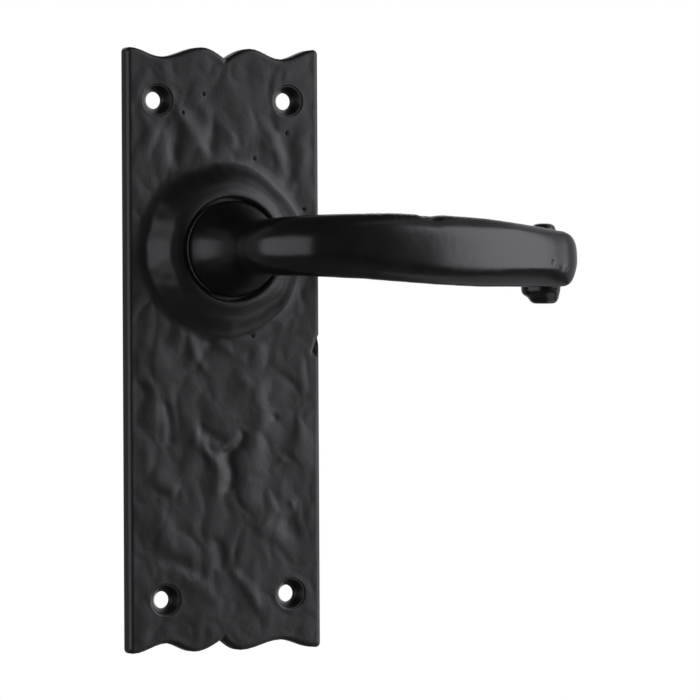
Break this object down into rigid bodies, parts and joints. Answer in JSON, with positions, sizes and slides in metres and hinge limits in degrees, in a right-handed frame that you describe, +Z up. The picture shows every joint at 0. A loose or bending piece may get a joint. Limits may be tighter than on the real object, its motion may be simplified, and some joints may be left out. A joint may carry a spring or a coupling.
{
  "type": "door lever handle",
  "caption": "Rustic black cast-iron door lever with a scrolled tip on a long wavy-ended backplate, sprung to return, with a square spindle.",
  "frame": {"origin": "the spindle's axis where it meets the door's face, which is the backplate's back", "axes": "+Y along the spindle into the door, +Z up the backplate, +X across the door towards the lever's tip"},
  "size_m": [0.1107, 0.1023, 0.155],
  "materials": {
    "black_iron_plate": "satin black coating over hammered casting",
    "black_iron_lever": "satin black coating over smooth casting",
    "steel": "bright drawn steel",
    "black_steel": "black oxide",
    "zinc_plated_steel": "zinc plated",
    "spring_steel": "oiled spring steel",
    "nylon": "natural nylon"
  },
  "bodies": {
    "plate": {"backplate": "black_iron_plate", "bearing_bush": "nylon", "rest_stop_pin": "steel", "travel_stop_pin": "steel", "spring_anchor_pin": "steel", "back_cover": "zinc_plated_steel", "cover_screw_1": "zinc_plated_steel", "cover_screw_2": "zinc_plated_steel", "cover_screw_3": "zinc_plated_steel", "cover_screw_4": "zinc_plated_steel", "return_spring": "spring_steel"},
    "lever": {"lever": "black_iron_lever", "grub_screw": "black_steel", "spindle": "steel", "thrust_washer": "steel", "cam_plate": "zinc_plated_steel", "wave_washer": "spring_steel", "circlip": "spring_steel"}
  },
  "joints": [
    {"name": "lever_turn", "type": "hinge", "parent": "plate", "child": "lever", "pos_m": [0, 0, 0], "axis": [0, 1, 0], "range_deg": [0, 45], "stiffness_Nm_per_rad": 0.35, "springref_deg": -34.38, "deforming": ["return_spring"]}
  ]
}
